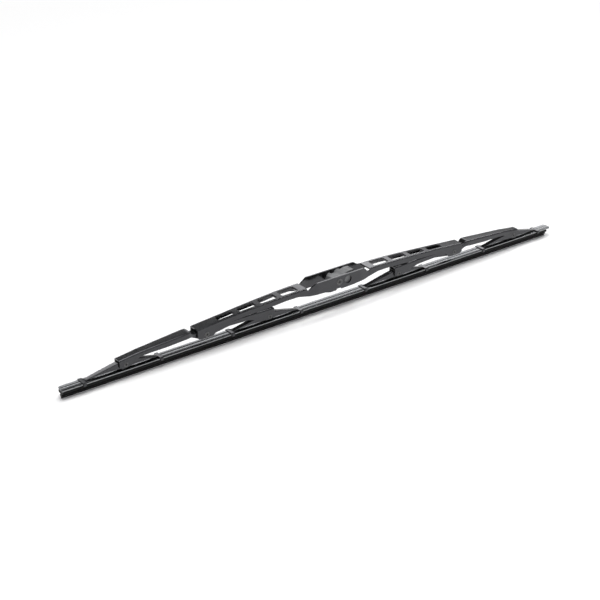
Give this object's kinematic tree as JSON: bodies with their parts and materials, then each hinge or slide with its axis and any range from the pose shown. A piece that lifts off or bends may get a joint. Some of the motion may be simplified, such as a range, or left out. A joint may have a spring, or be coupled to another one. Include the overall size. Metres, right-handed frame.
{
  "type": "windscreen wiper blade",
  "caption": "Bridged windscreen wiper blade: slotted channel bridge, rocking levers and yokes, and claws gripping a steel strip with a rubber squeegee.",
  "frame": {"origin": "middle of the centre pin that the arm clip turns on", "axes": "+X along the blade, +Y across it, +Z away from the glass"},
  "size_m": [0.508, 0.0166, 0.0309],
  "materials": {
    "painted_steel": "satin black paint on pressed sheet steel",
    "strip_steel": "bright rolled spring steel",
    "rubber": "smooth black natural rubber",
    "grey_plastic": "mid-grey moulded plastic",
    "black_plastic": "black moulded plastic",
    "rivet_steel": "dark plated steel"
  },
  "bodies": {
    "bridge": {"bridge_left": "painted_steel", "bridge_right": "painted_steel", "cheek_front": "painted_steel", "cheek_back": "painted_steel", "centre_pin": "rivet_steel", "lever_rivet_left": "rivet_steel", "lever_rivet_right": "rivet_steel", "backing_strip": "strip_steel", "squeegee": "rubber"},
    "left_lever": {"left_lever": "painted_steel", "lever_liner_left": "black_plastic", "yoke_rivet_1": "rivet_steel", "yoke_rivet_2": "rivet_steel"},
    "right_lever": {"right_lever": "painted_steel", "lever_liner_right": "black_plastic", "yoke_rivet_3": "rivet_steel", "yoke_rivet_4": "rivet_steel"},
    "yoke_1": {"yoke_1": "painted_steel", "yoke_liner_1": "black_plastic"},
    "yoke_2": {"yoke_2": "painted_steel", "yoke_liner_2": "black_plastic"},
    "yoke_3": {"yoke_3": "painted_steel", "yoke_liner_3": "black_plastic"},
    "yoke_4": {"yoke_4": "painted_steel", "yoke_liner_4": "black_plastic"},
    "arm_clip": {"arm_clip": "grey_plastic"}
  },
  "joints": [
    {"name": "left_lever_rock", "type": "hinge", "parent": "bridge", "child": "left_lever", "pos_m": [-0.13, 0, -0.00935], "axis": [0, 1, 0], "range_deg": [-3.5, 3], "stiffness_Nm_per_rad": 1, "deforming": ["backing_strip", "squeegee"]},
    {"name": "right_lever_rock", "type": "hinge", "parent": "bridge", "child": "right_lever", "pos_m": [0.13, 0, -0.00935], "axis": [0, 1, 0], "range_deg": [-3.1, 3.6]},
    {"name": "yoke_1_rock", "type": "hinge", "parent": "left_lever", "child": "yoke_1", "pos_m": [-0.2028, 0, -0.0132], "axis": [0, 1, 0], "range_deg": [-1.93, 1.67]},
    {"name": "yoke_2_rock", "type": "hinge", "parent": "left_lever", "child": "yoke_2", "pos_m": [-0.068, 0, -0.0132], "axis": [0, 1, 0], "range_deg": [-1.52, 1.76]},
    {"name": "yoke_3_rock", "type": "hinge", "parent": "right_lever", "child": "yoke_3", "pos_m": [0.068, 0, -0.0132], "axis": [0, 1, 0], "range_deg": [-1.93, 1.67]},
    {"name": "yoke_4_rock", "type": "hinge", "parent": "right_lever", "child": "yoke_4", "pos_m": [0.2028, 0, -0.0132], "axis": [0, 1, 0], "range_deg": [-1.52, 1.76]},
    {"name": "clip_swing", "type": "hinge", "parent": "bridge", "child": "arm_clip", "pos_m": [0, 0, 0], "axis": [0, 1, 0], "range_deg": [-20, 6]}
  ],
  "couplings": [
    {"joint": "right_lever_rock", "follows": "left_lever_rock", "ratio": -1},
    {"joint": "yoke_1_rock", "follows": "left_lever_rock", "ratio": 0.5225},
    {"joint": "yoke_2_rock", "follows": "left_lever_rock", "ratio": -0.473},
    {"joint": "yoke_3_rock", "follows": "left_lever_rock", "ratio": 0.5225},
    {"joint": "yoke_4_rock", "follows": "left_lever_rock", "ratio": -0.473}
  ]
}
